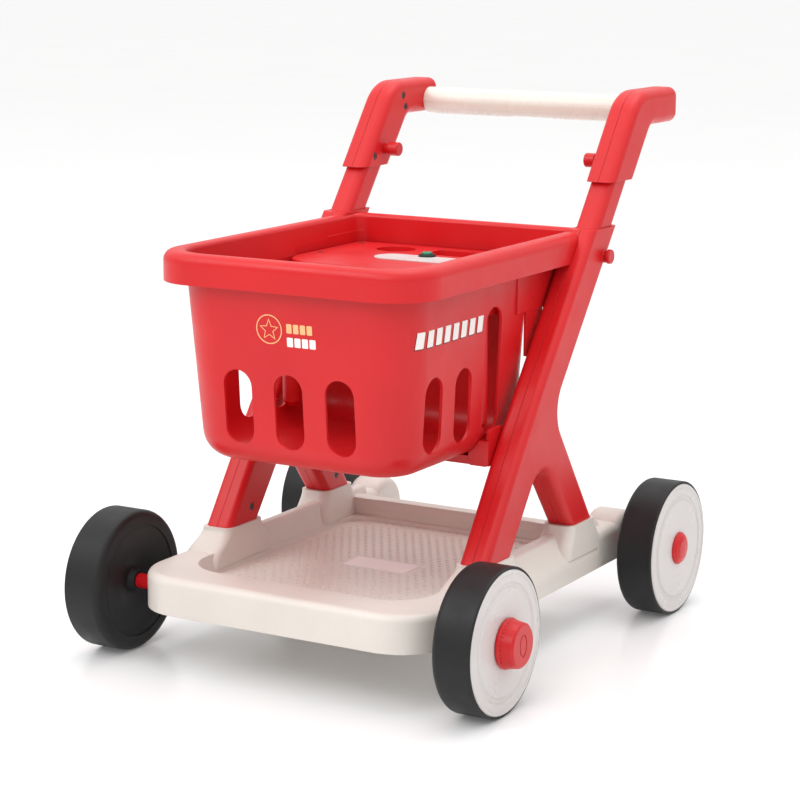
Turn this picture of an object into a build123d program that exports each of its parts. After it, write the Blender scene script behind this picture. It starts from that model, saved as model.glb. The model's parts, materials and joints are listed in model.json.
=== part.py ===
from build123d import *
import math
import os

# A toddler's toy shopping cart: a basket between two leaning side frames, a low tray on
# four wheels, and a push handle that slides in the frames. Millimetres, +Z up, the
# front of the cart towards -Y. Everything is drawn about the middle of the wheelbase
# and moved at the end, so that the origin is on the floor under the middle of the cart.

# ---- Driving dimensions -------------------------------------------------------------
WHEEL_R = 62.5              # tyre radius, so the axles are this high
HALF_BASE = 173.1           # half the wheelbase
AXLE_R = 4.0
TYRE_IN_X, TYRE_OUT_X = 164.3, 200.0
HUB_FACE_X = 200.8
KNOB_FACE_X = 216.0

LEAN = 37.66                # the arms lean back this far from vertical, degrees
FRAME_X = 130.0             # middle of each side frame
FRAME_HALF = 13.5           # half its thickness
COLLAR_Z = 364.0            # top of the side frames
FOOT_Z = 100.0              # where the legs stand on the tray's sockets
SEAM = 0.15                 # each moulded half stops this far from the seam plane
WALL = 2.6

TUBE_W, TUBE_D, TUBE_R = 23.4, 30.0, 8.0  # the sliding tubes and their corner radius
TUBE_Y = 124.6              # their centre line at the collar
SLEEVE_Z = 403.5            # bottom of the elbow brackets
BRACKET_HALF = 14.4
GRIP_Y, GRIP_Z, GRIP_R = 256.6, 461.0, 13.25
GRIP_REAR_Y = 276.0         # rear end of the brackets

RIM_HALF, RIM_FRONT, RIM_REAR = 131.6, -205.2, 131.8
RIM_Z0, RIM_Z1 = 335.7, 362.0
BIN_HALF, BIN_FRONT, BIN_REAR = 114.5, -194.2, 46.5   # outside, at the rim
BIN_FLOOR_Z = 181.5
SIDE_DRAFT, FRONT_DRAFT, REAR_DRAFT = 0.045, 0.09, 0.058
BIN_WALL = 2.8
BIN_CORNER_R, BIN_REAR_R, BIN_FOOT_R = 44.0, 28.0, 25.0
MOUTH_HALF, MOUTH_FRONT, MOUTH_REAR, MOUTH_FLARE = 111.8, -191.2, 117.4, 0.11
SHELF_Z = 299.0
SHELF_REAR = 120.2
SHELF_HALF, SHELF_R = 115.3, 12.8

TRAY_HALF, TRAY_FRONT, TRAY_REAR = 147.5, -216.0, 120.0
TRAY_Z0, DECK_Z, RIDGE_Z, FLOOR_Z = 50.0, 83.0, 91.0, 65.0

CONSOLE_Z = 336.0           # top of the console's lid
BUTTON_XY = (0.0, 49.0)

TAN = math.tan(math.radians(LEAN))
SHIFT_Y = (HALF_BASE + WHEEL_R - GRIP_REAR_Y) / 2
ARM = Plane(
    origin=(0, TUBE_Y, COLLAR_Z),
    x_dir=(1, 0, 0),
    z_dir=(0, math.sin(math.radians(LEAN)), math.cos(math.radians(LEAN))),
)
SIDES = {"left": 1, "right": -1}
ENDS = {"front": -1, "rear": 1}


# ---- Helpers ------------------------------------------------------------------------
def outline(corners):
    """A closed flat outline from (u, v, corner radius) points, in the XY plane."""
    points = [(u, v) for u, v, _ in corners]
    line = FilletPolyline(*points, radius=[r for _, _, r in corners], close=True)
    return make_face(line)


def side_prism(corners, x0, x1):
    """An outline in Y and Z, extruded from x0 to x1."""
    return extrude(Plane.YZ.offset(x0) * outline(corners), x1 - x0)


def box(x0, x1, y0, y1, z0, z1):
    return Pos((x0 + x1) / 2, (y0 + y1) / 2, (z0 + z1) / 2) * Box(x1 - x0, y1 - y0, z1 - z0)


def rod(radius, x0, x1, y, z):
    """A cylinder along X."""
    return Pos((x0 + x1) / 2, y, z) * Rot(0, 90, 0) * Cylinder(radius, x1 - x0)


def post(radius, x, y, z0, z1):
    return Pos(x, y, (z0 + z1) / 2) * Cylinder(radius, z1 - z0)


def turned(profile, y, z):
    """A closed (x, r) profile turned about an axis along X through y, z."""
    face = make_face(Polyline(*profile, close=True))
    return Pos(0, y, z) * revolve(face, Axis.X)


def mirrored(shape, side):
    return shape if side > 0 else mirror(shape, about=Plane.YZ)


def arm_bar(width, depth, radius, s0, s1, across=0.0):
    """A rounded bar along the leaning arm, from s0 to s1 above the collar."""
    section = Pos(0, across, s0) * RectangleRounded(width, depth, radius)
    return extrude(ARM * section, s1 - s0, dir=ARM.z_dir)


def shape_at(z, half, front, rear, radius):
    return Pos(0, (front + rear) / 2, z) * RectangleRounded(2 * half, rear - front, radius)


def save(name, shape):
    solids = shape if isinstance(shape, list) else list(shape.solids())
    moved = [s.moved(Location((0, SHIFT_Y, 0))) for s in solids]
    item = moved[0] if len(moved) == 1 else Compound(children=moved)
    export_step(item, f"parts/{name}.step")


# ---- Side frames --------------------------------------------------------------------
FRAME_CORNERS = [
    (-102.6, FOOT_Z, 0), (-50.5, 174.4, 200), (-4.0, 236.7, 200), (97.0, COLLAR_Z, 0),
    (148.3, COLLAR_Z, 0), (26.1, 211.8, 33), (106.6, FOOT_Z, 0), (63.6, FOOT_Z, 0),
    (4.3, 175.8, 23), (-53.0, FOOT_Z, 0),
]
FRAME_SCREWS = [(-66.0, 113.0), (80.0, 113.0), (14.0, 192.0), (22.0, 236.0)]
SPIGOTS = [(-94.0, -62.0), (70.0, 98.0)]
RELEASE_Y, RELEASE_Z = 120.0, 338.6
SCREW_HEAD_R, SCREW_R, BOSS_R, SINK = 3.4, 1.6, 4.4, 2.2


def rounded_slab(face, half, radius, z_low, z_high):
    """A face in Y and Z thickened both ways, long edges rounded between two heights."""
    slab = extrude(face, half, both=True)
    rims = [
        e for e in slab.edges()
        if abs(abs(e.center().X) - half) < 0.01 and z_low < e.center().Z < z_high
    ]
    return fillet(rims, radius)


def halves(shell):
    """Split a moulding at its seam plane, with a fine gap."""
    reach = 60
    outer = shell & box(SEAM, reach, -400, 400, 0, 600)
    inner = shell & box(-reach, -SEAM, -400, 400, 0, 600)
    return inner, outer


def screw_bosses(places, half):
    return [rod(BOSS_R, -half + 1, half - 1, y, z) for y, z in places]


def screw_holes(places, half):
    """A sunk head from the inner face and a blind pilot beyond the seam."""
    cuts = []
    for y, z in places:
        cuts.append(rod(SCREW_HEAD_R + 0.3, -half - 1, -half + SINK, y, z))
        cuts.append(rod(SCREW_R, -half, half - 4, y, z))
    return cuts


def screws(places, half, x):
    """Pan-head screws seated in the sunk holes, driven from the inner face."""
    made = []
    for y, z in places:
        top = -half + 0.4
        head = rod(SCREW_HEAD_R, top, -half + SINK, y, z)
        slot = box(top - 1, top + 0.9, y - 2.4, y + 2.4, z - 0.5, z + 0.5)
        cross = box(top - 1, top + 0.9, y - 0.5, y + 0.5, z - 2.4, z + 2.4)
        shank = rod(SCREW_R, -half + SINK, half - 4.5, y, z)
        made.append(Pos(x, 0, 0) * (head + shank - slot - cross))
    return made


def side_frame():
    """The lambda-shaped frame about X = 0: two legs that join into one leaning arm."""
    face = Plane.YZ * outline(FRAME_CORNERS)
    body = rounded_slab(face, FRAME_HALF, 6.5, FOOT_Z + 1, COLLAR_Z - 1)
    for y0, y1 in SPIGOTS:
        body += box(-10.5, 10.5, y0, y1, FOOT_Z - 14, FOOT_Z + 6)
    inner = FRAME_HALF - WALL
    hollow = extrude(offset(face, -WALL - 1.4, kind=Kind.INTERSECTION), inner, both=True)
    hollow &= box(-20, 20, -200, 200, FOOT_Z + 8, 262)
    for boss in screw_bosses(FRAME_SCREWS, FRAME_HALF):
        hollow -= boss
    body -= hollow
    body -= arm_bar(TUBE_W + 0.8, TUBE_D + 0.8, TUBE_R + 0.4, -128, 40)
    for cut in screw_holes(FRAME_SCREWS, FRAME_HALF):
        body -= cut
    ring = rod(5.8, FRAME_HALF - 1.4, FRAME_HALF + 1.5, RELEASE_Y, RELEASE_Z)
    body += ring
    body -= rod(4.3, FRAME_HALF - 4, FRAME_HALF + 3, RELEASE_Y, RELEASE_Z)
    return halves(body)


def release_button():
    """A mushroom push button on the outer face that frees the sliding tube."""
    stem = rod(4.0, FRAME_HALF + 0.7, FRAME_HALF + 5, RELEASE_Y, RELEASE_Z)
    head = rod(6.6, FRAME_HALF + 3.9, FRAME_HALF + 7.2, RELEASE_Y, RELEASE_Z)
    head = fillet(head.edges().group_by(Axis.X)[-1], 1.2)
    return stem + head


# ---- Handle -------------------------------------------------------------------------
SLEEVE_FRONT, SLEEVE_BACK = 131.0, 181.6
BRACKET_CORNERS = [
    (SLEEVE_FRONT, SLEEVE_Z, 0), (190.2, 482.0, 42), (GRIP_REAR_Y, 482.0, 9),
    (GRIP_REAR_Y, 449.5, 9), (217.6, 449.5, 16), (SLEEVE_BACK, SLEEVE_Z, 0),
]
BRACKET_SCREWS = [(151.0, 413.0), (205.0, 468.0), (209.5, 457.0)]
PIN_Y, PIN_Z = 170.0, 419.0
TUBE_LOW, TUBE_TOP = -76.0, 88.0


def tube():
    """The sliding tube about X = 0, with the hole that the locking pin drops into."""
    bar = arm_bar(TUBE_W, TUBE_D, TUBE_R, TUBE_LOW, TUBE_TOP)
    bar -= arm_bar(TUBE_W - 5, TUBE_D - 5, TUBE_R - 2.5, TUBE_LOW - 1, TUBE_TOP + 1)
    for y, z in BRACKET_SCREWS[:1]:
        bar -= rod(SCREW_R + 0.2, -20, 20, y, z)
    return bar - rod(3.9, -20, 0, PIN_Y, PIN_Z)


def bracket():
    """The elbow that sleeves over the tube and turns back to hold the grip."""
    face = Plane.YZ * outline(BRACKET_CORNERS)
    body = rounded_slab(face, BRACKET_HALF, 8.0, SLEEVE_Z + 1, 500)
    inner = BRACKET_HALF - WALL
    hollow = extrude(offset(face, -WALL - 1.0, kind=Kind.INTERSECTION), inner, both=True)
    hollow &= box(-20, 20, 100, 300, 440, 500)
    bosses = screw_bosses(BRACKET_SCREWS[1:], BRACKET_HALF)
    for boss in bosses + [rod(14.0, -14, -8, GRIP_Y, GRIP_Z)]:
        hollow -= boss
    body -= hollow
    body -= arm_bar(TUBE_W, TUBE_D, TUBE_R, 30, TUBE_TOP)
    for cut in screw_holes(BRACKET_SCREWS, BRACKET_HALF):
        body -= cut
    body -= rod(10.2, -BRACKET_HALF - 1, -7, GRIP_Y, GRIP_Z)
    body -= rod(3.9, -BRACKET_HALF - 1, 0, PIN_Y, PIN_Z)
    return halves(body)


def lock_pin():
    """A pull pin on the bracket's inner face: round head outside, shank in the tube."""
    face_x = -BRACKET_HALF
    neck = rod(4.9, face_x - 7, face_x - 0.3, PIN_Y, PIN_Z)
    head = rod(6.6, face_x - 16.5, face_x - 6, PIN_Y, PIN_Z)
    head = fillet(head.edges().group_by(Axis.X)[0], 1.4)
    return head + neck + rod(3.6, face_x - 1, face_x + 6.5, PIN_Y, PIN_Z)


def handle_bar():
    """The grip between the brackets: a hollow bar with a stepped spigot at each end."""
    face_x = FRAME_X - BRACKET_HALF
    bar = rod(GRIP_R, -face_x, face_x, GRIP_Y, GRIP_Z)
    bar += rod(10.0, -face_x - 7, face_x + 7, GRIP_Y, GRIP_Z)
    return bar - rod(7.5, -face_x - 9, face_x + 9, GRIP_Y, GRIP_Z)


# ---- Basket -------------------------------------------------------------------------
SLOT_Z0, SLOT_Z1, TALL_SLOT_Z1 = 200.5, 265.5, 311.0
FRONT_SLOTS_X = [-49.0, 1.0, 51.0]
SIDE_SLOTS = [(-134.0, SLOT_Z1), (-83.5, SLOT_Z1), (-33.5, TALL_SLOT_Z1)]
FRONT_SLOT_W, SIDE_SLOT_W = 28.0, 29.0


def bin_solid(inset, top_z):
    """The tapered tub, drawn in by a wall's thickness when inset is more than 0."""
    z0 = BIN_FLOOR_Z + inset

    def at(z):
        drop = RIM_Z0 - z
        half = BIN_HALF - SIDE_DRAFT * drop - inset
        return half, BIN_FRONT + FRONT_DRAFT * drop + inset, BIN_REAR - REAR_DRAFT * drop - inset

    (low_half, low_front, low_rear), (half, front, rear) = at(z0), at(top_z)
    profile = Polyline((low_front, z0), (low_rear, z0), (rear, top_z), (front, top_z), close=True)
    solid = extrude(make_face(Plane.YZ * profile), half + 1, both=True)
    ends = Polyline((-low_half, z0), (low_half, z0), (half, top_z), (-half, top_z), close=True)
    solid &= extrude(make_face(Plane.XZ * ends), 400, both=True)
    upright = [e for e in solid.edges() if e.bounding_box().size.Z > 50]
    solid = fillet([e for e in upright if e.center().Y < -100], BIN_CORNER_R - inset)
    upright = [e for e in solid.edges() if e.bounding_box().size.Z > 50 and e.center().Y > 0]
    solid = fillet(upright, BIN_REAR_R - inset)
    return fillet(solid.edges().group_by(Axis.Z)[0], BIN_FOOT_R - inset)


def rim_prism(grow, z0, z1):
    """The plan of the rim's outside, drawn in or out by grow."""
    half, front, rear = RIM_HALF + grow, RIM_FRONT - grow, RIM_REAR + grow
    plan = outline([
        (-half, front, 44 + grow), (half, front, 44 + grow),
        (half, rear, 14 + grow), (-half, rear, 14 + grow),
    ])
    return extrude(Pos(0, 0, z0) * plan, z1 - z0)


def opening(grow, z0, z1):
    """The mouth of the basket, a little wider at the top of the rim."""
    def level(z):
        flare = (z - RIM_Z0) * MOUTH_FLARE
        half, front, rear = MOUTH_HALF + flare + grow, MOUTH_FRONT - grow, MOUTH_REAR + grow
        plan = outline([
            (-half, front, 38 + grow), (half, front, 38 + grow),
            (half, rear, 10 + grow), (-half, rear, 10 + grow),
        ])
        return Pos(0, 0, z) * plan

    return loft([level(z0), level(z1)], ruled=True)


def rim():
    """A rolled edge, open underneath."""
    body = rim_prism(0, RIM_Z0, RIM_Z1)
    body = fillet(body.edges().group_by(Axis.Z)[-1], 9)
    gutter = rim_prism(-2.4, RIM_Z0 - 1, RIM_Z1 - 2.8) - opening(2.8, RIM_Z0 - 2, RIM_Z1)
    body -= fillet(gutter.edges().group_by(Axis.Z)[-1], 3)
    body -= opening(0, RIM_Z0 - 1, RIM_Z1 + 1)
    mouth = [
        e for e in body.edges().group_by(Axis.Z)[-1]
        if abs(e.center().X) < 118 and MOUTH_FRONT - 1 < e.center().Y < 119
    ]
    return fillet(mouth, 4)


def stadium(width, z0, z1, y_or_x, depth):
    """A slot standing on its end, cut through a wall that faces Y."""
    face = Plane.XZ * (Pos(y_or_x, (z0 + z1) / 2) * SlotOverall(z1 - z0, width, rotation=90))
    return extrude(face, depth, both=True)


def shelf_block(inset, z0, z1):
    """The space of the shelf behind the tub, with rounded rear corners."""
    half, front, rear = SHELF_HALF - inset, 5 - inset, SHELF_REAR - inset
    radius = SHELF_R - inset
    plan = outline([
        (-half, front, 0), (half, front, 0), (half, rear, radius), (-half, rear, radius),
    ])
    return extrude(Pos(0, 0, z0) * plan, z1 - z0)


def basket():
    body = bin_solid(0, 350)
    body += shelf_block(0, SHELF_Z, RIM_Z0 + 10)
    body -= rim_prism(30, RIM_Z0, RIM_Z1 + 20) - opening(2.8, RIM_Z0 - 1, RIM_Z1 + 30)
    body += rim()
    body -= bin_solid(BIN_WALL, RIM_Z0 + 0.3)
    body -= opening(0, RIM_Z0, RIM_Z1 + 10) & box(-130, 130, -220, 60, 300, 400)
    body -= shelf_block(2.7, SHELF_Z + 2.6, RIM_Z1 + 5)
    for side in (-1, 1):
        gusset = [(24, SHELF_Z + 1, 0), (24, 259, 0), (38, 259, 0), (56, SHELF_Z + 1, 0)]
        body += side_prism(gusset, side * 113 - 1.3, side * 113 + 1.3)
        body -= arm_clearance(side)
    for x in FRONT_SLOTS_X:
        body -= Pos(0, BIN_FRONT, 0) * stadium(FRONT_SLOT_W, SLOT_Z0, SLOT_Z1, x, 30)
    for y, top in SIDE_SLOTS:
        slot = Rot(0, 0, 90) * stadium(SIDE_SLOT_W, SLOT_Z0, top, y, 150)
        body -= slot
    return body


def arm_clearance(side):
    """The space that a side frame needs through the rim, a little larger than the frame."""
    swollen = offset(Plane.YZ * outline(FRAME_CORNERS), 1.0, kind=Kind.INTERSECTION)
    space = extrude(swollen, FRAME_HALF + 0.6, both=True)
    space += box(-FRAME_HALF - 0.6, 20, 95, 140, RIM_Z0 - 5, RIM_Z1 + 5)
    return Pos(side * FRAME_X, 0, 0) * mirrored(space, side)


def cross_beam():
    """The beam that joins the frames and carries the basket on its end blocks."""
    end = FRAME_X - FRAME_HALF
    beam = box(-end, end, -48, -24, 174, BIN_FLOOR_Z)
    beam -= box(-94, 94, -45, -27, 170, BIN_FLOOR_Z - 2.5)
    seat = bin_solid(-0.3, 340)
    for side in (-1, 1):
        block = box(97, end, -49, -22, 173.6, 196)
        block = fillet(block.edges().filter_by(Axis.Y).group_by(Axis.Z)[0], 3)
        beam += mirrored(block, side) - seat
        tab = side_prism(
            [(-48, 180, 3), (-20, 180, 3), (-20, 206, 5), (-46, 206, 5)], end - 3.4, end
        )
        beam += mirrored(tab, side) - seat
    return beam


# ---- Console ------------------------------------------------------------------------
HOUSING_HALF, HOUSING_FRONT, HOUSING_REAR = 106.0, -31.0, 112.0
FLANGE_HALF, FLANGE_FRONT, FLANGE_Z = 104.0, -44.0, 308.0
LID_HALF, LID_FRONT, LID_REAR = 109.5, -34.0, 113.0
HANG_X, HANG_Y, HANG_Z = 95.5, -30.0, 203.0
DISH_XY, TRAY_XY = (-51.0, 80.5), (27.5, 80.5)
PANEL_XY, PANEL_W, PANEL_D = (0.0, 33.5), 88.0, 33.0
BOARD_Z = 307.0
LID_SCREWS = [(-100.0, 26.0), (100.0, 26.0), (-100.0, 100.0), (100.0, 100.0)]


def console_plan(half, front, rear, radius):
    return outline([
        (-half, front, radius), (half, front, radius), (half, rear, 8), (-half, rear, 8),
    ])


def console_housing():
    """The tub under the lid, on a low flange with a hanging post at each front corner."""
    z0, z1 = SHELF_Z + 2.6, CONSOLE_Z - 3
    plan = console_plan(HOUSING_HALF, HOUSING_FRONT, HOUSING_REAR, 36)
    body = extrude(Pos(0, 0, z0) * plan, z1 - z0)
    plan = console_plan(FLANGE_HALF, FLANGE_FRONT, HOUSING_REAR, 12)
    body += extrude(Pos(0, 0, z0) * plan, FLANGE_Z - z0)
    plan = console_plan(HOUSING_HALF - 2.5, HOUSING_FRONT + 2.5, HOUSING_REAR - 2.5, 33.5)
    body -= extrude(Pos(0, 0, z0 + 2.5) * plan, z1 - z0)
    for side in (-1, 1):
        hang = post(8.5, side * HANG_X, HANG_Y, HANG_Z, z0 + 4)
        body += chamfer(hang.edges().group_by(Axis.Z)[0], 4)
    for x, y in LID_SCREWS:
        body += post(4.5, x, y, z0, z1) - post(1.6, x, y, z0 + 8, z1 + 1)
    x, y = BUTTON_XY
    for dx, dy in [(-19, -27), (19, -27), (-19, 7), (19, 7)]:
        body += post(2.5, x + dx, y + dy, z0 + 1, BOARD_Z)
    body -= box(-93, -37, 20, 76, z0 - 1, z0 + 3)
    return body


def console_lid():
    z0, z1 = CONSOLE_Z - 3, CONSOLE_Z
    body = extrude(Pos(0, 0, z0) * console_plan(LID_HALF, LID_FRONT, LID_REAR, 38), z1 - z0)
    body = fillet(body.edges().group_by(Axis.Z)[-1], 1.6)
    dish = Pos(*DISH_XY, z0 - 9) * extrude(Ellipse(21, 19.8), 9.5)
    tray = Pos(*TRAY_XY, z0 - 9) * extrude(RectangleRounded(86, 38, 6), 9.5)
    body += dish + tray
    body -= Pos(*DISH_XY, z0 - 7) * extrude(Ellipse(18.6, 17.4), 20)
    body -= Pos(*TRAY_XY, z0 - 7) * extrude(RectangleRounded(81, 33, 4), 20)
    body -= Pos(*PANEL_XY, z1 - 1.0) * extrude(RectangleRounded(PANEL_W + 0.4, PANEL_D + 0.4, 16.4), 5)
    body -= post(6.4, *BUTTON_XY, z0 - 20, z1 + 5)
    for x, y in LID_SCREWS:
        body -= post(1.8, x, y, z0 - 1, z1 + 1)
        body -= post(3.6, x, y, z1 - 1.6, z1 + 1)
    return body


def console_screws():
    made = []
    for x, y in LID_SCREWS:
        head = post(3.3, x, y, CONSOLE_Z - 1.6, CONSOLE_Z - 0.1)
        cross = box(x - 2.2, x + 2.2, y - 0.5, y + 0.5, CONSOLE_Z - 0.9, CONSOLE_Z + 1)
        made.append(head - cross + post(1.6, x, y, CONSOLE_Z - 12, CONSOLE_Z - 1.6))
    return made


def console_electrics():
    """What makes the button play a sound: board, speaker, cells and their cover."""
    x, y = BUTTON_XY
    top = BOARD_Z + 1.6
    board = box(x - 22, x + 22, y - 30, y + 10, BOARD_Z, top)
    switch = box(x - 3, x + 3, y - 3, y + 3, top, top + 3.4)
    chip = box(x - 14, x - 6, y - 24, y - 16, top, top + 1.4)
    floor = SHELF_Z + 5.1
    speaker = post(17, 62, 20, floor, floor + 6) + post(10, 62, 20, floor + 6, floor + 12)
    cells = [rod(7.0, -90, -40, 33 + 15 * k, floor + 7.1) for k in range(3)]
    door = box(-92.6, -37.4, 20.4, 75.6, SHELF_Z + 2.6, floor)
    return board + switch + chip, speaker, cells, door


def green_button():
    """A domed cap on a stem that reaches down to the switch."""
    x, y = BUTTON_XY
    cap = post(4.9, x, y, CONSOLE_Z - 4, CONSOLE_Z + 5.0)
    cap = fillet(cap.edges().group_by(Axis.Z)[-1], 1.8)
    flange = post(7.2, x, y, CONSOLE_Z - 6, CONSOLE_Z - 3.4)
    return cap + flange + post(3.0, x, y, CONSOLE_Z - 20.8, CONSOLE_Z - 6)


def button_bezel():
    x, y = BUTTON_XY
    ring = post(8.0, x, y, CONSOLE_Z, CONSOLE_Z + 2.6)
    ring = chamfer(ring.edges().group_by(Axis.Z)[-1], 1.1)
    ring += post(6.3, x, y, CONSOLE_Z - 3.0, CONSOLE_Z)
    return ring - post(5.3, x, y, CONSOLE_Z - 4, CONSOLE_Z + 3)


def coil_spring(radius, wire, z0, z1, turns, x, y):
    """An open round-wire coil standing on z0."""
    path = Helix((z1 - z0 - 2 * wire) / turns, z1 - z0 - 2 * wire, radius)
    start = Plane(origin=path @ 0, z_dir=path % 0)
    coil = sweep(start * Circle(wire), path=path)
    return Pos(x, y, z0 + wire) * coil


# ---- Tray ---------------------------------------------------------------------------
SOCKETS = {"front": (-107.0, -48.0), "rear": (59.0, 111.0)}   # collar ends in Y
FLARE = {"front": (-137.0, -36.0), "rear": (48.0, 121.0)}     # foot of the flare
HOUSING_R, DRUM_X = 29.0, 113.0


def socket(end):
    """A raised, flared seat that a leg stands on."""
    c0, c1 = SOCKETS[end]
    f0, f1 = FLARE[end]
    levels = [(70.0, 1.0), (DECK_Z, 0.72), (91.0, 0.25), (96.0, 0.05), (FOOT_Z - 0.1, 0.0)]
    faces = []
    for z, k in levels:
        y0, y1 = c0 + k * (f0 - c0), c1 + k * (f1 - c1)
        x0, x1 = 114.4 - 4 * k, 145.6 + 1.6 * k
        plan = Pos((x0 + x1) / 2, (y0 + y1) / 2, z) * RectangleRounded(x1 - x0, y1 - y0, 9)
        faces.append(plan)
    return loft(faces)


def tray_side():
    """The side wall between the sockets: upright inside, sloping outside."""
    corners = [
        (108, FLOOR_Z - 3, 0), (110.5, FLOOR_Z, 0), (119.5, RIDGE_Z, 4), (130, RIDGE_Z, 7),
        (TRAY_HALF, 67, 12), (TRAY_HALF, TRAY_Z0, 0), (108, TRAY_Z0, 0),
    ]
    wall = extrude(Plane.XZ * outline(corners), -200)
    return Pos(0, -62, 0) * wall


def base_tray():
    deck = extrude(
        Pos(0, 0, TRAY_Z0) * outline([
            (-TRAY_HALF, TRAY_FRONT, 47), (TRAY_HALF, TRAY_FRONT, 47),
            (TRAY_HALF, -40, 1), (-TRAY_HALF, -40, 1),
        ]), DECK_Z - TRAY_Z0,
    )
    lip = [e for e in deck.edges().group_by(Axis.Z)[-1] if e.center().Y < -45]
    body = fillet(lip, 7)
    body += box(-112, 112, -60, TRAY_REAR, TRAY_Z0, FLOOR_Z + 5)
    body += box(-116, 116, 105, TRAY_REAR, TRAY_Z0 + 0.5, RIDGE_Z - 4.5)
    for side in (-1, 1):
        body += mirrored(tray_side(), side)
    for side in (-1, 1):
        body += housing(side)
    body -= loft([
        shape_at(FLOOR_Z, 110, -160, 102, 30),
        shape_at(DECK_Z, 116, -178, 106, 38),
        shape_at(DECK_Z + 20, 122.6, -198, 110.4, 47),
    ], ruled=True)
    for side in (-1, 1):
        for end in ENDS:
            body += mirrored(socket(end), side)
    for side in (-1, 1):
        body -= tray_underside(side)
    body -= tray_pocket()
    body += box(-142, 142, -HALF_BASE - 7.5, -HALF_BASE + 7.5, TRAY_Z0 + 2, 70)
    for y in (-110, -50, 10, 70):
        body += box(-112, 112, y - 1, y + 1, TRAY_Z0 + 3, FLOOR_Z - 1)
    for end in ENDS.values():
        body -= rod(AXLE_R + 0.05, -160, 160, end * HALF_BASE, WHEEL_R)
    for side in (-1, 1):
        for y0, y1 in SPIGOTS:
            hole = box(119.2, 140.8, y0 - 0.3, y1 + 0.3, FOOT_Z - 14.3, FOOT_Z + 5)
            body -= mirrored(hole, side)
    return body


def housing(side):
    """The rear axle's housing, with the side wall carried back to it."""
    drum = rod(HOUSING_R, DRUM_X, TRAY_HALF, HALF_BASE, WHEEL_R)
    drum = fillet(drum.edges().filter_by(GeomType.CIRCLE), 7)
    drum -= box(90, 160, 100, 240, 20, TRAY_Z0)
    wall = box(DRUM_X, TRAY_HALF, 112, HALF_BASE, TRAY_Z0, DECK_Z + 1)
    wall = fillet(wall.edges().filter_by(Axis.Y).group_by(Axis.Z)[-1], 8)
    return mirrored(drum + wall, side)


def tray_pocket():
    """The hollow under the floor, deeper under the front deck."""
    plan = outline([
        (-TRAY_HALF + 3, TRAY_FRONT + 3, 44), (TRAY_HALF - 3, TRAY_FRONT + 3, 44),
        (TRAY_HALF - 3, 112, 6), (-TRAY_HALF + 3, 112, 6),
    ])
    pocket = extrude(Pos(0, 0, TRAY_Z0 - 1) * plan, FLOOR_Z - 3 - TRAY_Z0 + 1)
    deep = extrude(Pos(0, 0, TRAY_Z0 - 1) * plan, DECK_Z - 3 - TRAY_Z0 + 1)
    return pocket + (deep & box(-200, 200, -300, -188, 0, 100))


def tray_underside(side):
    """The hollows inside the side wall and the axle housing."""
    corners = [(113.5, 58, 0), (122, RIDGE_Z - 3, 0), (129, RIDGE_Z - 3, 0),
               (TRAY_HALF - 3, 66, 0), (TRAY_HALF - 3, 58, 0)]
    core = Pos(0, -30, 0) * extrude(Plane.XZ * outline(corners), -74)
    drum = rod(HOUSING_R - 3, DRUM_X + 3, TRAY_HALF - 3, HALF_BASE, WHEEL_R)
    drum -= rod(8, 100, 150, HALF_BASE, WHEEL_R)
    drum += box(DRUM_X + 3, TRAY_HALF - 3, 124, HALF_BASE - 12, TRAY_Z0 - 5, 80)
    return mirrored(core + drum, side)


# ---- Wheels -------------------------------------------------------------------------
def tyre(y):
    """A black ring with a soft inner shoulder and a thin lip around the hub disc."""
    ring = turned([
        (TYRE_IN_X, 50), (TYRE_IN_X, WHEEL_R), (TYRE_OUT_X, WHEEL_R),
        (TYRE_OUT_X, 60.4), (196.6, 60.4), (196.6, 50),
    ], y, WHEEL_R)
    shoulders = [e for e in ring.edges().filter_by(GeomType.CIRCLE) if e.radius > WHEEL_R - 0.1]
    shoulders.sort(key=lambda e: e.center().X)
    ring = fillet(shoulders[0], 6)
    outer = [e for e in ring.edges().filter_by(GeomType.CIRCLE)
             if e.radius > WHEEL_R - 0.1 and e.center().X > TYRE_OUT_X - 1]
    return fillet(outer, 1.6)


def wheel_core(y):
    """The black carrier: hub tube, dished web behind it and the band under the tyre."""
    bore = AXLE_R + 0.06
    return turned([
        (TYRE_IN_X + 0.3, bore), (TYRE_IN_X + 0.3, 9), (170, 11), (167.5, 26), (165.3, 46),
        (165.3, 50), (196.5, 50), (196.5, 47), (168.5, 46), (170.8, 27), (173.5, 12),
        (197.2, 9), (197.2, bore),
    ], y, WHEEL_R)


def hub_disc(y, knob):
    """The white cover: raised edge, shallow ring groove and a flat middle."""
    hole = 14.3 if knob else 10.0
    return turned([
        (197.3, hole), (197.3, 55), (196.7, 56), (196.7, 60.1), (199.6, 60.1),
        (HUB_FACE_X, 59.2), (HUB_FACE_X, 57.4), (200.0, 56.6), (200.0, 50.2), (199.0, 49.0),
        (199.0, 46.2), (200.4, 44.4), (200.4, hole),
    ], y, WHEEL_R)


def hub_knob(y):
    """The fluted drag knob on a front wheel: flange, tapered grip, hollow skirt."""
    body = turned([
        (198.0, 10.4), (198.0, 14.0), (200.9, 14.0), (200.9, 21.0), (203.0, 21.4),
        (204.0, 20.6), (214.6, 18.8), (KNOB_FACE_X, 17.2), (KNOB_FACE_X, 0), (213.2, 0),
        (213.2, 10.4),
    ], y, WHEEL_R)
    flute = rod(0.9, 204.5, 218, y + 20.9, WHEEL_R)
    for k in range(36):
        body -= flute.rotate(Axis((0, y, WHEEL_R), (1, 0, 0)), 10 * k)
    mark = Pos(KNOB_FACE_X - 0.6, y, WHEEL_R) * (Plane.YZ * (Ellipse(6.2, 9.5) - Ellipse(5.0, 8.3)))
    return body - extrude(mark, 2)


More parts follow.
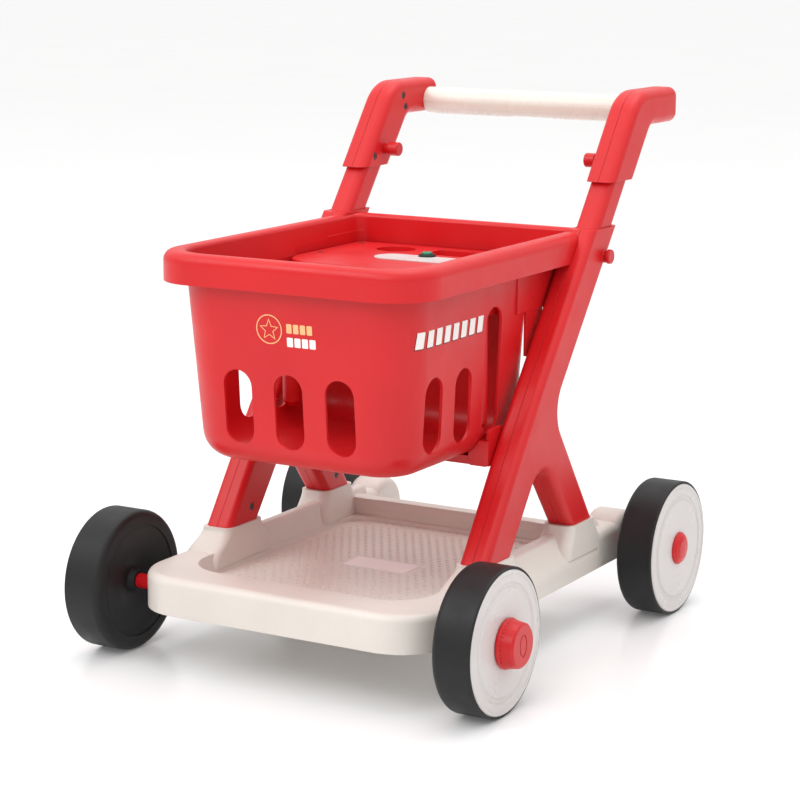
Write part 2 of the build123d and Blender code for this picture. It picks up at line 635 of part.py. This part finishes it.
def hub_cap(y):
    """The smooth domed cap pressed into a rear hub."""
    return turned([
        (197.6, 8.2), (197.6, 9.9), (200.5, 9.9), (200.5, 15.0), (202.0, 15.0),
        (204.6, 12.6), (206.2, 8.4), (206.8, 0), (204.6, 0), (202.6, 8.2),
    ], y, WHEEL_R)


def axle(y):
    half = 202.8 if y > 0 else 210.5
    shaft = rod(AXLE_R, -half, half, y, WHEEL_R)
    return chamfer(shaft.edges().filter_by(GeomType.CIRCLE), 0.6)


def push_nut(side, y):
    """The spring washer that keeps a wheel on its axle."""
    nut = turned([(197.7, AXLE_R), (197.7, 7.6), (198.9, 7.6), (199.4, AXLE_R)], y, WHEEL_R)
    return mirrored(nut, side)


def spacer(side, y):
    sleeve = turned([
        (TRAY_HALF + 0.05, AXLE_R), (TRAY_HALF + 0.05, 6.6), (TYRE_IN_X, 6.6), (TYRE_IN_X, AXLE_R),
    ], y, WHEEL_R)
    return mirrored(sleeve, side)


# ---- Write the pieces ---------------------------------------------------------------
def main():
    os.makedirs("parts", exist_ok=True)
    save("base_tray", base_tray())
    plate = Pos(0, -31.5, FLOOR_Z) * extrude(RectangleRounded(64, 28, 1.5), 1.4)
    save("tray_label_plate", plate)

    frame_inner, frame_outer = side_frame()
    bracket_inner, bracket_outer = bracket()
    frame_screws, bracket_screws = [], []
    for name, side in SIDES.items():
        place = Pos(FRAME_X, 0, 0)
        save(f"frame_inner_{name}", mirrored(place * frame_inner, side))
        save(f"frame_outer_{name}", mirrored(place * frame_outer, side))
        save(f"release_button_{name}", mirrored(place * release_button(), side))
        save(f"slide_tube_{name}", mirrored(place * tube(), side))
        save(f"bracket_inner_{name}", mirrored(place * bracket_inner, side))
        save(f"bracket_outer_{name}", mirrored(place * bracket_outer, side))
        save(f"lock_pin_{name}", mirrored(place * lock_pin(), side))
        frame_screws += [mirrored(s, side) for s in screws(FRAME_SCREWS, FRAME_HALF, FRAME_X)]
        bracket_screws += [
            mirrored(s, side) for s in screws(BRACKET_SCREWS, BRACKET_HALF, FRAME_X)
        ]
    save("frame_screws", frame_screws)
    save("bracket_screws", bracket_screws)
    save("handle_bar", handle_bar())

    save("basket", basket())
    save("cross_beam", cross_beam())
    save("console_housing", console_housing())
    save("console_lid", console_lid())
    panel = Pos(*PANEL_XY, CONSOLE_Z - 1.0) * extrude(RectangleRounded(PANEL_W, PANEL_D, 16.2), 1.6)
    save("console_panel", panel - post(8.3, *BUTTON_XY, CONSOLE_Z - 3, CONSOLE_Z + 4))
    save("console_screws", console_screws())
    board, speaker, cells, door = console_electrics()
    save("sound_board", board)
    save("speaker", speaker)
    save("battery_cells", cells)
    save("battery_cover", door)
    save("button_bezel", button_bezel())
    save("green_button", green_button())
    save("button_spring", coil_spring(5.6, 0.5, BOARD_Z + 1.6, CONSOLE_Z - 6, 6, *BUTTON_XY))

    nuts, spacers = [], []
    for end, sign in ENDS.items():
        y = sign * HALF_BASE
        save(f"{end}_axle", axle(y))
        for name, side in SIDES.items():
            front = end == "front"
            save(f"tyre_{end}_{name}", mirrored(tyre(y), side))
            save(f"wheel_core_{end}_{name}", mirrored(wheel_core(y), side))
            save(f"hub_disc_{end}_{name}", mirrored(hub_disc(y, front), side))
            cap = hub_knob(y) if front else hub_cap(y)
            save(f"hub_knob_{name}" if front else f"hub_cap_{name}", mirrored(cap, side))
            nuts.append(push_nut(side, y))
            spacers.append(spacer(side, y))
    save("push_nuts", nuts)
    save("axle_spacers", spacers)


if __name__ == "__main__":
    main()
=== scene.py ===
import bpy
import bmesh
import json
import math
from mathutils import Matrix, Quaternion, Vector


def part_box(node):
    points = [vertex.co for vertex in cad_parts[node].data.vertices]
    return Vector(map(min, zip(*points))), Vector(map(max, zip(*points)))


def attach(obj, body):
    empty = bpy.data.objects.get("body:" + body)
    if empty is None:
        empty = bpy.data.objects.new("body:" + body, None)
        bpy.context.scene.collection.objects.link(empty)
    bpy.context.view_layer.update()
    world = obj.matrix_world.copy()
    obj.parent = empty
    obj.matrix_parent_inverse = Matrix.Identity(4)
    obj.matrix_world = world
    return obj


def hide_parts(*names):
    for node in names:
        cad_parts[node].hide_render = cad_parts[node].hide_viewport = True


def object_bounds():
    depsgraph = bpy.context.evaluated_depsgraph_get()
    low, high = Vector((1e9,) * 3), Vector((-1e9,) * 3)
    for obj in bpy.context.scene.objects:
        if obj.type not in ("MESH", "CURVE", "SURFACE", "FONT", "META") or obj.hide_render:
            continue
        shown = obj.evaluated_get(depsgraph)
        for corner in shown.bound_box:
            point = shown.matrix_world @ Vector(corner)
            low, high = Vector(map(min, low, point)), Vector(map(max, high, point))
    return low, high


# The looks of the toy shopping cart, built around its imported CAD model. Metres, +Z up,
# the front of the cart towards -Y, the cart's left side towards +X.

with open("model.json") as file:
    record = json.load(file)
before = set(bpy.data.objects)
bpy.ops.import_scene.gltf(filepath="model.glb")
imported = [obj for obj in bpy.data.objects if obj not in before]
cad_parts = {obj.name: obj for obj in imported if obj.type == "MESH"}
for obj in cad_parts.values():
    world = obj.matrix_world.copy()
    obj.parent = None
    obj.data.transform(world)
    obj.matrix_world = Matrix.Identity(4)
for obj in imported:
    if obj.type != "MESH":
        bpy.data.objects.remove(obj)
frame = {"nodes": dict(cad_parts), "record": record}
cad_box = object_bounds()
MM = 0.001

EDGE_ROUND = 0.7 * MM        # how far moulded edges look rounded
PLASTIC_GRAIN = 1400.0       # waves in a metre
DRAWN_LINES = 1800.0


# ---- Materials ----------------------------------------------------------------------
def linear(r, g, b):
    """Linear colour from 0 to 255 screen values."""
    def channel(v):
        v /= 255
        return v / 12.92 if v <= 0.04045 else ((v + 0.055) / 1.055) ** 2.4

    return channel(r), channel(g), channel(b), 1.0


class Nodes:
    """A material's node tree with short calls for the nodes that the plastics share."""

    def __init__(self, name):
        self.material = bpy.data.materials.new(name)
        self.material.use_nodes = True
        self.tree = self.material.node_tree
        self.shader = self.tree.nodes["Principled BSDF"]
        self.place = self.add("ShaderNodeTexCoord").outputs["Object"]

    def add(self, kind, **values):
        node = self.tree.nodes.new(kind)
        for key, value in values.items():
            setattr(node, key, value)
        return node

    def link(self, source, target):
        self.tree.links.new(source, target)

    def noise(self, scale, detail=2.0, roughness=0.5):
        """Noise in the object's own space; scale counts waves in a metre."""
        node = self.add("ShaderNodeTexNoise")
        self.link(self.place, node.inputs["Vector"])
        node.inputs["Scale"].default_value = scale
        node.inputs["Detail"].default_value = detail
        node.inputs["Roughness"].default_value = roughness
        return node.outputs["Fac"]

    def remap(self, value, low, high, from_low=0.3, from_high=0.7):
        node = self.add("ShaderNodeMapRange")
        self.link(value, node.inputs["Value"])
        node.inputs["From Min"].default_value = from_low
        node.inputs["From Max"].default_value = from_high
        node.inputs["To Min"].default_value = low
        node.inputs["To Max"].default_value = high
        return node.outputs["Result"]

    def blend(self, factor, first, second):
        """Mix two colours; each is a socket or a colour value."""
        node = self.add("ShaderNodeMix", data_type="RGBA")
        for socket, value in ((node.inputs[0], factor), (node.inputs[6], first),
                              (node.inputs[7], second)):
            if isinstance(value, bpy.types.NodeSocket):
                self.link(value, socket)
            else:
                socket.default_value = value
        return node.outputs[2]

    def edges(self, radius):
        """A mask that is 1 on edges and 0 on flat ground, and the softened normal."""
        soft = self.add("ShaderNodeBevel", samples=4)
        soft.inputs["Radius"].default_value = radius
        sharp = self.add("ShaderNodeNewGeometry")
        dot = self.add("ShaderNodeVectorMath", operation="DOT_PRODUCT")
        self.link(soft.outputs["Normal"], dot.inputs[0])
        self.link(sharp.outputs["Normal"], dot.inputs[1])
        return self.remap(dot.outputs["Value"], 1.0, 0.0, 0.80, 0.995), soft.outputs["Normal"]

    def bump(self, heights, normal=None):
        """Chain of bumps from (height socket, depth in metres) pairs."""
        for height, depth in heights:
            node = self.add("ShaderNodeBump")
            node.inputs["Strength"].default_value = 1.0
            node.inputs["Distance"].default_value = depth
            self.link(height, node.inputs["Height"])
            if normal is not None:
                self.link(normal, node.inputs["Normal"])
            normal = node.outputs["Normal"]
        self.link(normal, self.shader.inputs["Normal"])


def plastic(name, colour, gloss, texture=0.00002, tint=None, coat=0.0, edge_light=1.25, shine=0.5):
    """Moulded plastic: soft colour drift, fine grain, scuffed sheen, and paler edges that are
    partly rubbed wear and partly a painted highlight.
    """
    m = Nodes(name)
    r, g, b, _ = colour
    drift = m.remap(m.noise(9.0, 3.0), 0.0, 1.0)
    dull = (r * 0.93, g * 0.93, b * 0.93, 1.0)
    warm = tint or (min(1.0, r * 1.04), min(1.0, g * 1.05), min(1.0, b * 1.05), 1.0)
    body = m.blend(drift, dull, warm)
    fleck = m.remap(m.noise(260.0, 2.0), 0.0, 0.10)
    body = m.blend(fleck, body, (r * 0.86, g * 0.86, b * 0.86, 1.0))
    # Paler edges: patchy rubbed wear, and also a painted highlight along the moulded edges where
    # rounded edges would catch the light.
    mask, normal = m.edges(EDGE_ROUND)
    rubbed = m.remap(m.noise(70.0, 3.0), 0.0, 0.45)
    wear_and_highlight = m.add("ShaderNodeMath", operation="MULTIPLY")
    m.link(mask, wear_and_highlight.inputs[0])
    m.link(rubbed, wear_and_highlight.inputs[1])
    worn_and_highlit = tuple(min(1.0, v * edge_light + 0.02) for v in (r, g, b)) + (1.0,)
    m.link(m.blend(wear_and_highlight.outputs[0], body, worn_and_highlit), m.shader.inputs["Base Color"])
    scuff = m.remap(m.noise(35.0, 4.0, 0.6), gloss - 0.05, gloss + 0.07)
    m.link(scuff, m.shader.inputs["Roughness"])
    m.shader.inputs["Specular IOR Level"].default_value = shine
    m.shader.inputs["Coat Weight"].default_value = coat
    m.shader.inputs["Coat Roughness"].default_value = 0.12
    m.bump([(m.noise(24.0, 1.0), 0.00025), (m.noise(PLASTIC_GRAIN, 2.0), texture)], normal)
    return m.material


def metal(name, colour, gloss, across=(1.0, 1.0, 1.0)):
    """Bright steel with fine drawn lines and slight stains."""
    m = Nodes(name)
    r, g, b, _ = colour
    stretch = m.add("ShaderNodeMapping")
    m.link(m.place, stretch.inputs["Vector"])
    stretch.inputs["Scale"].default_value = across
    streak = m.add("ShaderNodeTexNoise")
    m.link(stretch.outputs["Vector"], streak.inputs["Vector"])
    streak.inputs["Scale"].default_value = DRAWN_LINES
    stain = m.remap(m.noise(120.0, 3.0), 0.0, 0.35)
    m.link(m.blend(stain, colour, (r * 0.7, g * 0.69, b * 0.66, 1.0)),
           m.shader.inputs["Base Color"])
    m.shader.inputs["Metallic"].default_value = 1.0
    m.link(m.remap(streak.outputs["Fac"], gloss - 0.08, gloss + 0.12), m.shader.inputs["Roughness"])
    _, normal = m.edges(0.0003)
    m.bump([(streak.outputs["Fac"], 0.000015)], normal)
    return m.material


def tyre_plastic(name):
    """Soft black plastic: faint mould bloom, dusty rubbed shoulders, fine leathery grain."""
    m = Nodes(name)
    black, dusty = linear(26, 26, 27), linear(56, 55, 56)
    bloom = m.remap(m.noise(22.0, 4.0, 0.6), 0.0, 0.35)
    body = m.blend(bloom, black, linear(38, 38, 40))
    mask, normal = m.edges(0.0012)
    rubbed = m.add("ShaderNodeMath", operation="MULTIPLY")
    m.link(mask, rubbed.inputs[0])
    m.link(m.remap(m.noise(60.0, 3.0), 0.1, 0.7), rubbed.inputs[1])
    m.link(m.blend(rubbed.outputs[0], body, dusty), m.shader.inputs["Base Color"])
    m.link(m.remap(m.noise(45.0, 4.0), 0.40, 0.54), m.shader.inputs["Roughness"])
    m.shader.inputs["Specular IOR Level"].default_value = 0.3
    cells = m.add("ShaderNodeTexVoronoi")
    m.link(m.place, cells.inputs["Vector"])
    cells.inputs["Scale"].default_value = 1100.0
    m.bump([(m.noise(30.0, 1.0), 0.0002), (cells.outputs["Distance"], 0.00003)], normal)
    return m.material


def printed(name, colour):
    """Screen-printed ink with slight mottle and pinholes."""
    m = Nodes(name)
    r, g, b, _ = colour
    mottle = m.remap(m.noise(420.0, 3.0), 0.0, 0.5)
    m.link(m.blend(mottle, colour, (r * 0.88, g * 0.88, b * 0.88, 1.0)),
           m.shader.inputs["Base Color"])
    m.link(m.remap(m.noise(300.0), 0.30, 0.43), m.shader.inputs["Roughness"])
    m.bump([(m.noise(900.0, 2.0), 0.00001)])
    return m.material


def floor_paint(name):
    """Pale, slightly glossy studio floor."""
    m = Nodes(name)
    drift = m.remap(m.noise(0.8, 2.0), 0.0, 1.0)
    m.link(m.blend(drift, (0.86, 0.86, 0.865, 1.0), (0.865, 0.865, 0.87, 1.0)),
           m.shader.inputs["Base Color"])
    m.link(m.remap(m.noise(3.0, 3.0), 0.225, 0.235), m.shader.inputs["Roughness"])
    m.shader.inputs["Specular IOR Level"].default_value = 0.35
    m.shader.inputs["Emission Color"].default_value = (1.0, 1.0, 1.0, 1.0)
    m.shader.inputs["Emission Strength"].default_value = 0.07
    return m.material


RED = linear(207, 24, 29)
CREAM = linear(220, 212, 204)
looks = {
    "red_plastic": plastic("red plastic", RED, 0.36, tint=linear(212, 27, 32), shine=0.4),
    "red_fittings": plastic("red fittings", linear(200, 22, 28), 0.30, shine=0.4),
    "cream_plastic": plastic("cream plastic", CREAM, 0.36, edge_light=1.05),
    "grip_plastic": plastic("grip plastic", linear(228, 222, 211), 0.24, coat=0.3, edge_light=1.02),
    "white_plastic": plastic("white plastic", linear(211, 206, 204), 0.30, edge_light=1.05),
    "label_card": plastic("label card", linear(246, 240, 238), 0.55, edge_light=1.0, shine=0.25),
    # The black plastic's edges get a strong painted highlight (edge_light 1.8), partly rubbed wear.
    "dark_plastic": plastic("dark plastic", linear(28, 28, 30), 0.50, edge_light=1.8, shine=0.3),
    "tyre_black": tyre_plastic("tyre black"),
    "green_plastic": plastic("green plastic", linear(10, 128, 90), 0.22, coat=0.4),
    "screw_steel": metal("screw steel", (0.16, 0.13, 0.13, 1.0), 0.42),
    "axle_steel": metal("axle steel", (0.55, 0.55, 0.56, 1.0), 0.30, across=(0.02, 1.0, 1.0)),
    "board": plastic("board", linear(38, 96, 58), 0.4, texture=0.00006),
    "speaker_body": plastic("speaker body", linear(44, 44, 46), 0.5, texture=0.00006),
    "cell_case": plastic("cell case", linear(60, 104, 168), 0.25, edge_light=1.1),
}


def smooth(obj, angle=32.0):
    """Shades a mesh smooth except along its sharp edges."""
    mesh = obj.data
    for face in mesh.polygons:
        face.use_smooth = True
    mesh.set_sharp_from_angle(angle=math.radians(angle))


for part in frame["record"]["subparts"]:
    node = frame["nodes"][part["node"]]
    node.data.materials.clear()
    look = "label_card" if part["node"] == "tray_label_plate" else part["material_slot"]
    node.data.materials.append(looks[look])


# ---- New pieces ---------------------------------------------------------------------
def piece(name, bm, look, body):
    """A finished mesh piece that rides on a CAD body."""
    mesh = bpy.data.meshes.new(name)
    bmesh.ops.recalc_face_normals(bm, faces=bm.faces)
    bm.to_mesh(mesh)
    bm.free()
    obj = bpy.data.objects.new(name, mesh)
    bpy.context.scene.collection.objects.link(obj)
    mesh.materials.append(looks[look] if isinstance(look, str) else look)
    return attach(obj, body)


def ring_loft(bm, rings):
    """Skin a list of point rings of equal length with quads and close both ends."""
    rows = [[bm.verts.new(p) for p in ring] for ring in rings]
    for low, high in zip(rows, rows[1:]):
        for i in range(len(low)):
            j = (i + 1) % len(low)
            bm.faces.new((low[i], low[j], high[j], high[i]))
    bm.faces.new(rows[0])
    bm.faces.new(rows[-1][::-1])


def grip():
    """The moulded hand grip: faintly faceted, with two patches of finger ridges below."""
    low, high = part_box("handle_bar")
    middle = (low + high) / 2
    radius = (high.z - low.z) / 2
    reach = (high.x - low.x) / 2
    neck, shoulder = 10 * MM, reach - 7 * MM
    steps, around = 560, 96
    facets, ridge_pitch, ridge_height = 10, 4.2 * MM, 0.9 * MM
    rings = []
    stations = [-reach, -shoulder, -shoulder]
    radii = [neck, neck, radius - 0.8 * MM]
    for k in range(steps + 1):
        stations.append((-1 + 2 * k / steps) * (shoulder - 0.8 * MM))
        radii.append(radius - 0.25 * MM)
    stations += [shoulder, shoulder, reach]
    radii += [radius - 0.8 * MM, neck, neck]
    for x, r in zip(stations, radii):
        share = abs(x) / reach
        patch = max(0.0, min(1.0, (share - 0.16) * 25, (0.90 - share) * 25))
        ridge = 0.5 + 0.5 * math.cos(2 * math.pi * x / ridge_pitch)
        ring = []
        for k in range(around):
            turn = 2 * math.pi * k / around
            part = (turn * facets / (2 * math.pi)) % 1.0 - 0.5
            flat = math.cos(math.pi / facets) / math.cos(2 * math.pi * part / facets)
            here = r * (1 - 0.35 * (1 - flat)) if r > neck else r
            below = max(0.0, math.cos(turn + math.pi / 2 - 0.25)) ** 2
            if r > neck:
                here += patch * ridge * below * ridge_height
            side, rise = here * math.cos(turn), here * math.sin(turn)
            ring.append((middle.x + x, middle.y + side, middle.z + rise))
        rings.append(ring)
    bm = bmesh.new()
    ring_loft(bm, rings)
    obj = piece("grip_moulding", bm, "grip_plastic", "handle")
    smooth(obj, 40)
    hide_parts("handle_bar")


def inside(x, y, half, front, rear, corner):
    """True inside a rounded rectangle about X = 0."""
    dx = max(0.0, abs(x) - (half - corner))
    dy = max(0.0, (front + corner) - y, y - (rear - corner))
    return dx * dx + dy * dy < corner * corner


def tray_tread():
    """The tray floor's skin, pitted with a staggered pattern of short dashes."""
    low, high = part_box("base_tray")
    plate_low, plate_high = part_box("tray_label_plate")
    floor = plate_low.z
    front_deck, floor_length, side_wall = 56 * MM, 262 * MM, 36.5 * MM
    front = low.y + front_deck
    rear = front + floor_length
    half = (high.x - low.x) / 2 - side_wall
    skin_corner, pit_corner = 31 * MM, 22 * MM
    across, along = 4.3 * MM, 7.2 * MM
    lift, depth = 0.95 * MM, 0.85 * MM
    dash_lip, dash_foot = Vector((0.58, 0.36, 1)), Vector((0.44, 0.22, 1))
    margin, plate_gap = 11 * MM, 4 * MM
    bm = bmesh.new()
    corners = {}

    def corner(i, j):
        if (i, j) not in corners:
            corners[i, j] = bm.verts.new((i * across, front + j * along, floor + lift))
        return corners[i, j]

    columns = int(half / across) + 1
    rows = int((rear - front) / along) + 2
    for i in range(-columns, columns + 1):
        for j in range(-1, rows):
            x, y = i * across, front + j * along
            covered = inside(x, y, half + across, front - across, rear + across, skin_corner)
            if (i + j) % 2 or not covered:
                continue
            ring = [corner(i + 1, j), corner(i, j + 1), corner(i - 1, j), corner(i, j - 1)]
            near_plate = (
                plate_low.x - plate_gap < x < plate_high.x + plate_gap
                and plate_low.y - plate_gap < y < plate_high.y + plate_gap
            )
            pitted = inside(x, y, half - margin, front + margin, rear - margin, pit_corner)
            if near_plate or not pitted:
                bm.faces.new(ring)
                continue
            middle = Vector((x, y, floor + lift))
            drop = Vector((0, 0, depth))
            lip = [bm.verts.new(middle + (v.co - middle) * dash_lip) for v in ring]
            sunk = [bm.verts.new(middle + (v.co - middle) * dash_foot - drop) for v in ring]
            for k in range(4):
                n = (k + 1) % 4
                bm.faces.new((ring[k], ring[n], lip[n], lip[k]))
                bm.faces.new((lip[k], lip[n], sunk[n], sunk[k]))
            bm.faces.new(sunk)
    piece("tray_tread", bm, "cream_plastic", "chassis")


INK, SUNK = 0.16 * MM, 0.05 * MM   # a print stands this high and starts this deep


def on_wall(origin, across, up):
    """A function from (u, v, height) on a flat wall to a point in the row frame."""
    outward = across.cross(up).normalized()

    def place(u, v, h):
        return origin + across * u + up * v + outward * h

    return place


def on_side(side, face_x, front_y, foot_z, drafts, radius):
    """As on_wall for a side of the tub, bending round its front corner; u is Y."""
    side_draft, front_draft = drafts

    def place(u, v, h):
        corner_y = front_y + radius - front_draft * v
        turn = max(0.0, corner_y - u) / radius
        centre_x = face_x - radius + side_draft * v
        reach = radius + h
        y = corner_y - reach * math.sin(turn) if turn else u
        return Vector((side * (centre_x + reach * math.cos(turn)), y, foot_z + v))

    return place


def badge(bm, place, outline, height=INK):
    """A thin printed shape from its outline, with a slightly chamfered edge."""
    count = len(outline)
    cu = sum(p[0] for p in outline) / count
    cv = sum(p[1] for p in outline) / count
    foot = [bm.verts.new(place(u, v, -SUNK)) for u, v in outline]
    top = [
        bm.verts.new(place(cu + (u - cu) * 0.98, cv + (v - cv) * 0.98, height)) for u, v in outline
    ]
    for k in range(count):
        n = (k + 1) % count
        bm.faces.new((foot[k], foot[n], top[n], top[k]))
    bm.faces.new(top)


def band(bm, place, outer, inner):
    """A thin printed line between two outlines with the same number of points."""
    count = len(outer)
    rings = [
        [bm.verts.new(place(u, v, h)) for u, v in line]
        for line, h in ((outer, -SUNK), (outer, INK), (inner, INK), (inner, -SUNK))
    ]
    for low, high in zip(rings, rings[1:]):
        for k in range(count):
            n = (k + 1) % count
            bm.faces.new((low[k], low[n], high[n], high[k]))


def lozenge(u0, u1, v0, v1, slant=0.0, radius=0.9 * MM, steps=5):
    """A rounded bar's outline; its top is pushed sideways by slant."""
    points = []
    for cu, cv, start in (
        (u1 - radius, v1 - radius, 0), (u0 + radius, v1 - radius, 90),
        (u0 + radius, v0 + radius, 180), (u1 - radius, v0 + radius, 270),
    ):
        for k in range(steps + 1):
            a = math.radians(start + 90 * k / steps)
            u, v = cu + radius * math.cos(a), cv + radius * math.sin(a)
            points.append((u + slant * (v - v0), v))
    return points


def star(cu, cv, outer, inner, tips=5):
    """A plain star's outline about (cu, cv)."""
    points = []
    for k in range(2 * tips):
        a = math.pi / 2 + math.pi * k / tips
        r = inner if k % 2 else outer
        points.append((cu + r * math.cos(a), cv + r * math.sin(a)))
    return points


def circle(cu, cv, r, steps=28):
    turns = [2 * math.pi * k / steps for k in range(steps)]
    return [(cu + r * math.cos(a), cv + r * math.sin(a)) for a in turns]


def stickers():
    """Plain prints: a ringed star and two dashed lines in front, a row of bars on each side."""
    low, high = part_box("basket")
    rim_height, front_lip, side_lip = 26.3 * MM, 11.0 * MM, 17.1 * MM
    rim_foot = high.z - rim_height
    front_draft, side_draft, corner_radius = 0.09, 0.045, 44 * MM
    # The walls start a little inside the rim and lean in towards the floor.
    front = on_wall(
        Vector((0, low.y + front_lip, rim_foot)), Vector((1, 0, 0)),
        Vector((0, -front_draft, 1)).normalized(),
    )
    tan, white = bmesh.new(), bmesh.new()
    ring_u, ring_v, star_v = -14 * MM, -32.5 * MM, -33 * MM
    band(tan, front, circle(ring_u, ring_v, 12.6 * MM), circle(ring_u, ring_v, 11.7 * MM))
    band(
        tan, front,
        star(ring_u, star_v, 9.6 * MM, 4.3 * MM), star(ring_u, star_v, 8.2 * MM, 3.5 * MM),
    )
    for k in range(4):
        u = (3.0 + 6.6 * k) * MM
        badge(tan, front, lozenge(u, u + 5.2 * MM, -34.5 * MM, -26.5 * MM))
    for k in range(4):
        u = (3.0 + 7.3 * k) * MM
        badge(white, front, lozenge(u, u + 5.9 * MM, -46.0 * MM, -38.0 * MM))
    tan_ink = printed("tan print", linear(244, 188, 130))
    white_ink = printed("white print", linear(246, 240, 236))
    piece("front_print_tan", tan, tan_ink, "chassis")
    piece("front_print_white", white, white_ink, "chassis")

    for name, side in (("left", 1), ("right", -1)):
        wall = on_side(
            side, high.x - side_lip, low.y + front_lip, rim_foot,
            (side_draft, front_draft), corner_radius,
        )
        stripe, shade = bmesh.new(), bmesh.new()
        centre, pitch, slant = -130.5 * MM, 14.2 * MM, 0.12
        for k in range(8):
            u = centre + (k - 3.5) * pitch
            under = lozenge(u - 5.2 * MM, u + 5.0 * MM, -43.9 * MM, -29.5 * MM, slant)
            over = lozenge(u - 4.6 * MM, u + 4.8 * MM, -42.9 * MM, -28.9 * MM, slant)
            badge(shade, wall, under, 0.34 * MM)
            badge(stripe, wall, over, 0.42 * MM)
        piece(f"side_print_{name}", stripe, printed(f"side print {name}", linear(246, 240, 236)),
              "chassis")
        piece(f"side_print_shade_{name}", shade, printed(f"side shade {name}", linear(120, 20, 26)),
              "chassis")


# ---- Build --------------------------------------------------------------------------
grip()
tray_tread()
stickers()

for name, obj in frame["nodes"].items():
    smooth(obj)


# ---- Studio -------------------------------------------------------------------------
def studio():
    bm = bmesh.new()
    size, cells = 60.0, 12
    grid = [[bm.verts.new((size * (i / cells - 0.5), size * (j / cells - 0.5), 0.0))
             for j in range(cells + 1)] for i in range(cells + 1)]
    for i in range(cells):
        for j in range(cells):
            bm.faces.new((grid[i][j], grid[i + 1][j], grid[i + 1][j + 1], grid[i][j + 1]))
    mesh = bpy.data.meshes.new("studio_floor")
    bm.to_mesh(mesh)
    bm.free()
    floor = bpy.data.objects.new("studio_floor", mesh)
    bpy.context.scene.collection.objects.link(floor)
    mesh.materials.append(floor_paint("studio floor"))

    world = bpy.data.worlds.new("soft studio")
    world.use_nodes = True
    bpy.context.scene.world = world
    tree = world.node_tree
    sky = tree.nodes["Background"]
    coords = tree.nodes.new("ShaderNodeTexCoord")
    split = tree.nodes.new("ShaderNodeSeparateXYZ")
    ramp = tree.nodes.new("ShaderNodeMapRange")
    tree.links.new(coords.outputs["Generated"], split.inputs[0])
    tree.links.new(split.outputs["Z"], ramp.inputs["Value"])
    ramp.inputs["From Min"].default_value = 0.0
    ramp.inputs["From Max"].default_value = 0.8
    ramp.inputs["To Min"].default_value = 0.52
    ramp.inputs["To Max"].default_value = 1.40
    tree.links.new(ramp.outputs["Result"], sky.inputs["Strength"])
    sky.inputs["Color"].default_value = (1.0, 0.995, 0.99, 1.0)

    lights = [
        ("key", (-1.6, -2.2, 2.6), 1.6, 22.0),
        ("front", (0.3, -3.0, 2.2), 1.4, 14.0),
        ("top", (0.2, 0.6, 3.0), 2.0, 20.0),
    ]
    for name, spot, span, power in lights:
        data = bpy.data.lights.new(name, "AREA")
        data.shape = "RECTANGLE"
        data.size = data.size_y = span
        data.energy = power
        lamp = bpy.data.objects.new(name, data)
        bpy.context.scene.collection.objects.link(lamp)
        lamp.location = spot
        aim = Vector((0, 0, 0.2)) - Vector(spot)
        lamp.rotation_euler = aim.to_track_quat("-Z", "Y").to_euler()


def camera():
    """Looks at the cart from its front left, a little above, with a long lens."""
    azimuth, elevation, roll = math.radians(30.06), math.radians(11.38), math.radians(0.2)
    distance, lens = 2.1411, 105.99
    low, high = cad_box
    aim = (low + high) / 2 + Vector((-0.0113, 0.0, -0.0335))
    back = Vector((
        math.sin(azimuth) * math.cos(elevation),
        -math.cos(azimuth) * math.cos(elevation),
        math.sin(elevation),
    ))
    data = bpy.data.cameras.new("camera")
    data.lens = lens
    data.sensor_width = 36.0
    data.clip_end = 200.0
    eye = bpy.data.objects.new("camera", data)
    bpy.context.scene.collection.objects.link(eye)
    eye.location = aim + back * distance
    eye.rotation_mode = "QUATERNION"
    eye.rotation_quaternion = (-back).to_track_quat("-Z", "Y") @ Quaternion((0, 0, 1), roll)
    bpy.context.scene.camera = eye


studio()
camera()
bpy.context.scene.view_settings.view_transform = "Standard"
